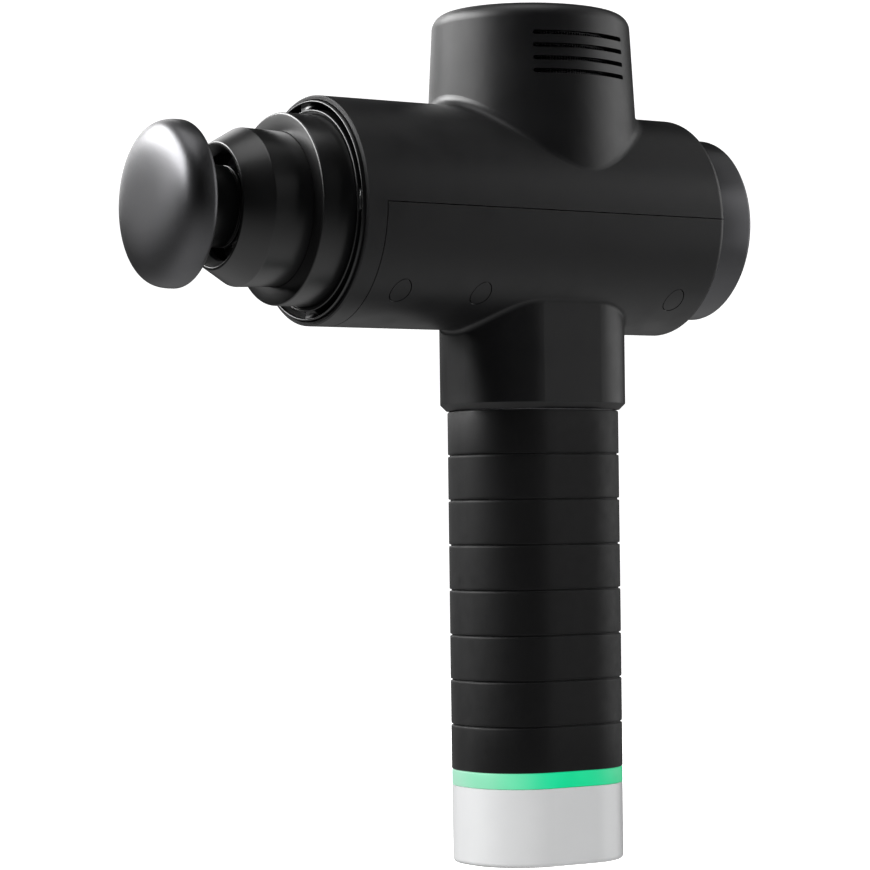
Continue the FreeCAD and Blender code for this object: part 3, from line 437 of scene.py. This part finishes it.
def materials_by_slot():
    """One finished material for each slot of the record."""
    return {
        "shell_plastic": soft_touch(),
        "nose_plastic": nose_plastic(),
        "head_metal": satin_metal("head_anodised", (0.074, 0.074, 0.077), 0.38),
        "dial_metal": satin_metal("dial_anodised", (0.066, 0.066, 0.069), 0.36, flakes=0.3),
        "grip_rubber": silicone(),
        "base_plastic": base_silver(),
        "light_diffuser": glowing_diffuser(),
        "structure_plastic": moulded("structure_plastic", (0.045, 0.045, 0.048), 0.5, grain=900.0),
        "lens_glass": lens_gloss(),
        "seal_rubber": moulded("seal_rubber", (0.012, 0.012, 0.012), 0.62, grain=1800.0),
        "steel": turned_metal("machined_steel", (0.50, 0.50, 0.52), 0.30),
        "bearing_steel": turned_metal("polished_steel", (0.62, 0.62, 0.64), 0.16),
        "motor_alloy": turned_metal("cast_alloy", (0.58, 0.58, 0.60), 0.42),
        "bronze": turned_metal("sintered_bronze", (0.55, 0.36, 0.16), 0.46),
        "winding_copper": copper_wire(),
        "magnet": turned_metal("magnet_nickel", (0.30, 0.30, 0.32), 0.28),
        "board": board_mask(),
        "component": moulded("component_body", (0.03, 0.03, 0.034), 0.45, grain=1500.0),
        "lamp": moulded("lamp_resin", (0.75, 0.75, 0.66), 0.25, grain=1500.0),
        "cell_wrap": moulded("cell_shrink_wrap", (0.02, 0.10, 0.26), 0.28, grain=600.0, clouds=0.15),
        "paper": moulded("insulating_paper", (0.42, 0.38, 0.27), 0.75, grain=1400.0, clouds=0.15),
        "contact_metal": turned_metal("gold_plating", (0.80, 0.60, 0.26), 0.24),
    }


# ---- Stage, lights and camera -------------------------------------------------------------------

CAMERA_PLACE = Vector((0.68468, -0.46301, 0.09812))
CAMERA_YAW = 1.0104        # radians
CAMERA_ROLL = -0.0128
CAMERA_LENS = 120.0        # millimetres, on a sensor 36 wide
CAMERA_SHIFT_UP = 0.0928
LIGHT_AIM = Vector((0.0, -0.02, 0.15))
ROOM_GLOW = 0.0            # brightness of the room at eye level and above
FLOOR_GLOW = 1.0           # and straight down


def camera_axes():
    """Right, up and back of the camera before its roll."""
    back = Vector((math.sin(CAMERA_YAW), -math.cos(CAMERA_YAW), 0))
    right = Vector((math.cos(CAMERA_YAW), math.sin(CAMERA_YAW), 0))
    return right, Vector((0, 0, 1)), back


def make_camera():
    """Level camera at the photograph's viewing angle."""
    right, up, back = camera_axes()
    data = bpy.data.cameras.new("camera")
    data.lens = CAMERA_LENS
    data.sensor_width = 36.0
    data.shift_y = CAMERA_SHIFT_UP
    data.clip_start, data.clip_end = 0.01, 50.0
    camera = bpy.data.objects.new("camera", data)
    bpy.context.collection.objects.link(camera)
    tilted_right = right * math.cos(CAMERA_ROLL) + up * math.sin(CAMERA_ROLL)
    tilted_up = up * math.cos(CAMERA_ROLL) - right * math.sin(CAMERA_ROLL)
    turn = Matrix((tilted_right, tilted_up, back)).transposed().to_4x4()
    camera.matrix_world = Matrix.Translation(CAMERA_PLACE) @ turn
    bpy.context.scene.camera = camera


def stage_material():
    """Pale paper of the floor and backdrop."""
    n = Nodes("stage_paper")
    cloud = n.span(n.noise(3.0, 3.0), 0.0, 1.0)
    n.link(n.blend(cloud, (0.60, 0.60, 0.605), (0.62, 0.62, 0.62)), n.shader.inputs["Base Color"])
    n.link(n.bump(n.noise(400.0, 3.0), 0.04, 0.0003), n.shader.inputs["Normal"])
    n.set(Roughness=0.9, Specular_IOR_Level=0.1, Emission_Color=(1, 1, 1, 1), Emission_Strength=0.96)
    return n.material


def make_stage():
    """Round pale floor, low enough for the pulled battery, that sweeps up into a backdrop on every side."""
    floor_radius, bend, wall_top, segments = 2.4, 1.2, 3.2, 96
    profile = [(0.6 * k, 0.0) for k in range(1, 5)]
    for k in range(1, 13):
        angle = math.pi / 2 * k / 12
        profile.append((floor_radius + bend * math.sin(angle), bend * (1 - math.cos(angle))))
    profile.append((floor_radius + bend, wall_top))
    points, faces = [(0, 0, 0)], []
    for s in range(segments):
        angle = 2 * math.pi * s / segments
        points += [(r * math.cos(angle), r * math.sin(angle), z) for r, z in profile]
    count = len(profile)
    for s in range(segments):
        a, b = 1 + s * count, 1 + (s + 1) % segments * count
        faces.append((0, a, b))
        faces += [(a + k, a + k + 1, b + k + 1, b + k) for k in range(count - 1)]
    mesh = bpy.data.meshes.new("stage")
    mesh.from_pydata(points, [], faces)
    for polygon in mesh.polygons:
        polygon.use_smooth = True
    mesh.materials.append(stage_material())
    stage = bpy.data.objects.new("stage", mesh)
    bpy.context.collection.objects.link(stage)
    stage.location.z = -FLOOR_DROP
    stage.visible_glossy = False
    stage.visible_diffuse = False
    stage.visible_shadow = False


def soft_light(name, azimuth, elevation, distance, width, height, radiance, glossy=True):
    """Soft box aimed at the object. Azimuth is in degrees from the camera, positive to its right."""
    right, up, back = camera_axes()
    turn, rise = math.radians(azimuth), math.radians(elevation)
    level = back * math.cos(turn) + right * math.sin(turn)
    data = bpy.data.lights.new(name, "AREA")
    data.shape = "RECTANGLE"
    data.size, data.size_y = width, height
    data.energy = radiance * math.pi * width * height
    light = bpy.data.objects.new(name, data)
    bpy.context.collection.objects.link(light)
    light.location = LIGHT_AIM + (level * math.cos(rise) + up * math.sin(rise)) * distance
    light.visible_camera = False
    light.visible_glossy = glossy
    light.rotation_mode = "QUATERNION"
    light.rotation_quaternion = (LIGHT_AIM - light.location).to_track_quat("-Z", "Y")


def make_lights():
    """White glow from below, soft boxes on every side and a plain colour transform."""
    world = bpy.data.worlds.new("studio")
    world.use_nodes = True
    tree = world.node_tree
    direction = tree.nodes.new("ShaderNodeTexCoord").outputs["Generated"]
    split = tree.nodes.new("ShaderNodeSeparateXYZ")
    tree.links.new(direction, split.inputs["Vector"])
    height = tree.nodes.new("ShaderNodeMapRange")
    height.inputs["From Min"].default_value, height.inputs["From Max"].default_value = -0.9, -0.1
    height.inputs["To Min"].default_value, height.inputs["To Max"].default_value = FLOOR_GLOW, ROOM_GLOW
    tree.links.new(split.outputs["Z"], height.inputs["Value"])
    tree.nodes["Background"].inputs["Color"].default_value = (1.0, 1.0, 1.0, 1)
    tree.links.new(height.outputs["Result"], tree.nodes["Background"].inputs["Strength"])
    bpy.context.scene.world = world
    # name, azimuth, elevation, distance, width, height, radiance
    soft_light("key_left", -91, 36, 1.4, 1.8, 0.7, 19.0)
    soft_light("low_left", -102, 15, 1.4, 0.8, 0.38, 2.2)
    soft_light("back_left", -150, 26, 1.4, 0.9, 0.9, 2.0)
    soft_light("front_fill", 12, 8, 1.5, 1.8, 0.9, 6.5, glossy=False)
    soft_light("side_right", 89, 10, 1.5, 0.7, 1.4, 2.6)
    soft_light("rim_right", 115, 12, 1.5, 0.8, 1.4, 2.2)
    soft_light("high_right", 120, 44, 1.4, 1.0, 0.5, 0.6)
    soft_light("top", 0, 85, 1.4, 1.0, 1.0, 2.6)
    view = bpy.context.scene.view_settings
    view.view_transform = "Standard"
    view.look = "None"


# ---- The pieces ---------------------------------------------------------------------------------


def build_head(by_slot):
    """Flat-domed metal head with a rounded rim and a seat for the hub in its back."""
    rim_r, edge = HEAD_HIGH[0] / MM, -113.2
    fuller, seat_r, seat_y = 0.8, 18.02, edge - 0.88
    dome = edge - HEAD_LOW[1] / MM + fuller
    steps = 40
    profile = []
    for k in range(steps + 1):
        angle = math.pi / 2 * (1 - k / steps)
        r = rim_r * math.cos(angle) ** 0.55 if k else 0.0
        profile.append(Vector((r, edge - dome * math.sin(angle) ** 0.62)))
    back = HEAD_HIGH[1] / MM
    for k in range(1, 7):
        angle = math.pi / 2 * k / 6
        profile.append(Vector((rim_r - 0.9 * (1 - math.cos(angle)), edge + (back - edge) * math.sin(angle))))
    profile += [Vector((rim_r - 1.6, back)), Vector((18.3, back)), Vector((seat_r, back - 0.3)),
                Vector((seat_r, seat_y)), Vector((0, seat_y))]
    mesh = turned_solid("massage_head_mesh", profile)
    add_object("massage_head_looks", mesh, by_slot["head_metal"], "head", "massage_head")


def build_hub(by_slot):
    """Hub of the head: a flange let into its back and a neck with one groove near its end."""
    front, rear = HUB_LOW[1] / MM, HUB_HIGH[1] / MM
    flange_r, neck_r, groove_r = 17.9, 11.0, 10.3
    corners = [(flange_r, front, 0.2), (flange_r, front + 2.2, 0.5), (14.0, front + 2.2, 1.2),
               (neck_r, front + 4.6, 2.0), (neck_r, rear - 1.9, 0.2), (groove_r, rear - 1.9, 0.2),
               (groove_r, rear - 1.2, 0.2), (neck_r, rear - 1.2, 0.2), (neck_r, rear, 0.6)]
    profile = [Vector((0, front))] + outline_open(corners, Vector((0, front)), Vector((0, rear)))
    profile.append(Vector((0, rear)))
    mesh = turned_solid("head_hub_mesh", profile)
    add_object("head_hub_looks", mesh, by_slot["nose_plastic"], "head", "head_hub")


def build_cone(by_slot):
    """Nose cone: straight band, short taper and a rolled lip around the throat."""
    back, lip, step = CONE_HIGH[1] / MM, CONE_LOW[1] / MM, COLLAR_LOW[1] / MM
    foot_r, band_r, taper_start, throat_r = 23.8, 20.9, -94.5, 14.5
    corners = [(19.3, back, 0.2), (foot_r, back, 0.2), (foot_r, step + 2.1, 0.2), (band_r, step + 2.1, 0.1),
               (band_r, step, 1.0), (21.3, taper_start, 1.1), (17.1, lip, 0.45), (16.35, lip, 0.3),
               (throat_r, lip + 3.0, 0.8), (throat_r, lip + 5.0, 0.3), (17.8, lip + 5.0, 0.3),
               (19.3, -94.3, 0.5)]
    mesh = lathe("nose_cone_mesh", outline(corners, steps=5))
    add_object("nose_cone_looks", mesh, by_slot["nose_plastic"], "housing", "nose_cone")


def build_collar(by_slot):
    """Collar behind the cone, with a narrow rounded edge and a step round the cone."""
    front, rear = COLLAR_LOW[1] / MM, COLLAR_HIGH[1] / MM
    corners = [(26.0, rear, 0.1), (26.0, front, 0.55), (21.0, front, 0.1), (21.0, front + 2.0, 0.1),
               (24.0, front + 2.0, 0.2), (24.0, rear, 0.1)]
    mesh = lathe("nose_collar_mesh", outline(corners, steps=5))
    add_object("nose_collar_looks", mesh, by_slot["nose_plastic"], "housing", "nose_collar")


def build_vent_ring(by_slot):
    """Ring in the barrel's mouth: two rounded ridges joined by four ribs between the slots."""
    front, rear = VENT_LOW[1] / MM, VENT_HIGH[1] / MM
    inner_slot, outer_slot = 27.35, 29.25
    rib_half, rib_shift = 5.4, 1.0                         # degrees
    ridge = front - 0.35
    shoulder = ridge + 0.15
    inner = [Vector(place) for place in (
        (inner_slot, front + 0.2), (inner_slot, rear), (26.05, rear), (26.05, front), (26.6, front),
        (26.8, shoulder), (26.95, ridge), (27.15, ridge), (27.3, shoulder))]
    outer = [Vector(place) for place in (
        (outer_slot, rear), (outer_slot, front + 0.2), (29.3, shoulder), (29.42, ridge), (29.6, ridge),
        (29.75, shoulder), (29.8, front), (29.8, rear))]
    slot_steps, slot_width = 40, 90 - 2 * rib_half
    ribs = [90 * k + rib_shift for k in range(4)]          # the angle at the middle of each rib
    angles = [rib + side * rib_half for rib in ribs for side in (-1, 0, 1)]
    angles += [rib + rib_half + slot_width * j / slot_steps for rib in ribs for j in range(1, slot_steps)]
    angles.sort()
    profile = inner + outer
    count, split = len(profile), len(inner)
    points = [about_axis(p, math.radians(a)) for a in angles for p in profile]
    faces = []
    from_rib = [(a - rib_shift + 45) % 90 - 45 for a in angles]
    ribbed = [-rib_half - 0.01 < apart < rib_half - 0.01 for apart in from_rib]
    for s in range(len(angles)):
        a, b = s * count, (s + 1) % len(angles) * count
        steps = [(k, k + 1) for k in range(1, split - 1)] + [(split - 1, 0)]
        steps += [(k, k + 1) for k in range(split + 1, count - 1)] + [(count - 1, split)]
        steps += [(0, split + 1), (split, 1)] if ribbed[s] else [(0, 1), (split, split + 1)]
        for k, n in steps:
            faces.append((a + k, a + n, b + n, b + k))
        if ribbed[s] != ribbed[s - 1]:
            faces.append((a, a + 1, a + split, a + split + 1))
    mesh = mesh_from("front_vent_ring_mesh", points, faces)
    add_object("front_vent_ring_looks", mesh, by_slot["nose_plastic"], "housing", "front_vent_ring")


def build_dial(by_slot):
    """Rear dial ring with rounded edges and a seat for the lens."""
    front, rear = DIAL_LOW[1] / MM, DIAL_HIGH[1] / MM
    rim_r, seat_r, bore_r = 26.3, 24.0, 22.05
    corners = [(23.0, front + 2.2, 0.1), (23.0, front, 0.2), (25.6, front, 0.3), (rim_r, front + 0.7, 0.5),
               (rim_r, rear - 1.1, 1.0), (25.2, rear, 0.7), (24.2, rear, 0.4), (seat_r, rear - 0.9, 0.2),
               (seat_r, rear - 3.9, 0.2), (bore_r, rear - 3.9, 0.1), (bore_r, front + 2.2, 0.1)]
    mesh = lathe("dial_ring_mesh", outline(corners, steps=5))
    add_object("dial_ring_looks", mesh, by_slot["dial_metal"], "dial", "dial_ring")


def build_grip(by_slot):
    """Silicone sleeve: eight pads between seven rounded grooves."""
    low, high = GRIP_LOW[2] / MM, GRIP_HIGH[2] / MM
    skin, top_edge, pitch, count = 1.2, 127.7, 12.67, 7
    flank = ((-0.9, 0.0), (-0.45, 0.02), (-0.33, 0.07), (-0.27, 0.18), (-0.24, 0.55))
    groove = flank + tuple((-step, depth) for step, depth in reversed(flank))
    stations = [(high, skin), (low, skin), (low, 0.4), (low + 0.15, 0.12), (low + 0.4, 0.0)]
    for k in range(count, 0, -1):
        z = top_edge - pitch * k
        stations += [(z + step, depth) for step, depth in groove]
    stations += [(high - 0.4, 0.0), (high - 0.15, 0.12), (high, 0.4)]
    mesh = handle_loft("grip_sleeve_mesh", (GRIP_HIGH[0] / MM, GRIP_HIGH[1] / MM), stations)
    add_object("grip_sleeve_looks", mesh, by_slot["grip_rubber"], "battery", "grip_sleeve")


def build_light_ring(by_slot):
    """Glowing ring between the sleeve and the base, with rounded edges."""
    low, high, skin = RING_LOW[2] / MM, RING_HIGH[2] / MM, 1.15
    stations = [(high, skin), (low, skin), (low, 0.25), (low + 0.07, 0.07), (low + 0.25, 0.0),
                (high - 0.35, 0.0), (high - 0.1, 0.1), (high, 0.35)]
    mesh = handle_loft("light_ring_mesh", (RING_HIGH[0] / MM, RING_HIGH[1] / MM), stations)
    add_object("light_ring_looks", mesh, by_slot["light_diffuser"], "battery", "light_ring")


def build_vent_mesh():
    """Curved perforated strips behind the tower's slots, one on each side."""
    low, high = 219.2, 232.8
    inner, outer, half_angle = 23.3, 23.7, 34.0
    cell, hole = 0.85, 0.33                # millimetres, and the hole's radius as a share of the cell
    columns = int(2 * math.radians(half_angle) * outer / cell)
    rows = int((high - low) / cell)
    points, faces = [], []

    def corner(side, u, v, radius):
        """Place on one strip's sheet, counted in cells around and up."""
        angle = side + math.radians(half_angle) * (2 * u / columns - 1)
        height = low + (high - low) * v / rows
        return (radius * MM * math.cos(angle), radius * MM * math.sin(angle), height * MM)

    def ring(side, u, v, radius):
        """Corner indices of one cell: four outside, eight around the hole."""
        start = len(points)
        for du, dv in ((0, 0), (1, 0), (1, 1), (0, 1)):
            points.append(corner(side, u + du, v + dv, radius))
        for k in range(8):
            angle = math.pi * (k - 3) / 4
            highlight_fade, along = hole * math.cos(angle), hole * math.sin(angle)
            points.append(corner(side, u + 0.5 + highlight_fade, v + 0.5 + along, radius))
        return start

    def plate(start, flip):
        """Faces of one cell between its corners and its hole."""
        for k in range(4):
            a, b = start + k, start + (k + 1) % 4
            c, d, e = (start + 4 + (2 * k + j) % 8 for j in range(3))
            for face in ((a, b, d), (a, d, c), (b, e, d)):
                faces.append(tuple(reversed(face)) if flip else face)

    for side in (0.0, math.pi):
        for u in range(columns):
            for v in range(rows):
                front = ring(side, u, v, outer)
                rear = ring(side, u, v, inner)
                plate(front, False)
                plate(rear, True)
                for k in range(8):
                    a, b = 4 + k, 4 + (k + 1) % 8
                    faces.append((front + a, rear + a, rear + b, front + b))
                edges = [(0, 1)] * (v == 0) + [(1, 2)] * (u == columns - 1)
                edges += [(2, 3)] * (v == rows - 1) + [(3, 0)] * (u == 0)
                for a, b in edges:
                    faces.append((front + a, front + b, rear + b, rear + a))
    mesh = mesh_from("vent_mesh_mesh", points, faces, weld=0.000005)
    # Dark grey steel, much darker than the other steel parts, so the mesh shows near black through the
    # slots.
    dark_vent_metal = turned_metal("dark_vent_mesh", (0.05, 0.05, 0.052), 0.42)
    add_object("vent_mesh_looks", mesh, dark_vent_metal, "housing", "vent_mesh")


def dress_cad_nodes(by_slot):
    """Gives every CAD node its slot's material."""
    slots = {part["node"]: part["material_slot"] for part in frame["record"]["subparts"]}
    for name, node in frame["nodes"].items():
        if not node.material_slots:
            node.data.materials.append(by_slot[slots[name]])
        for material_slot in node.material_slots:
            material_slot.material = by_slot[slots[name]]


def build_all(by_slot):
    """Materials for every CAD node, then the finer meshes that stand in for some of them."""
    dress_cad_nodes(by_slot)
    build_head(by_slot)
    build_hub(by_slot)
    build_cone(by_slot)
    build_collar(by_slot)
    build_vent_ring(by_slot)
    build_dial(by_slot)
    build_grip(by_slot)
    build_light_ring(by_slot)
    build_vent_mesh()


make_camera()
make_stage()
make_lights()
build_all(materials_by_slot())
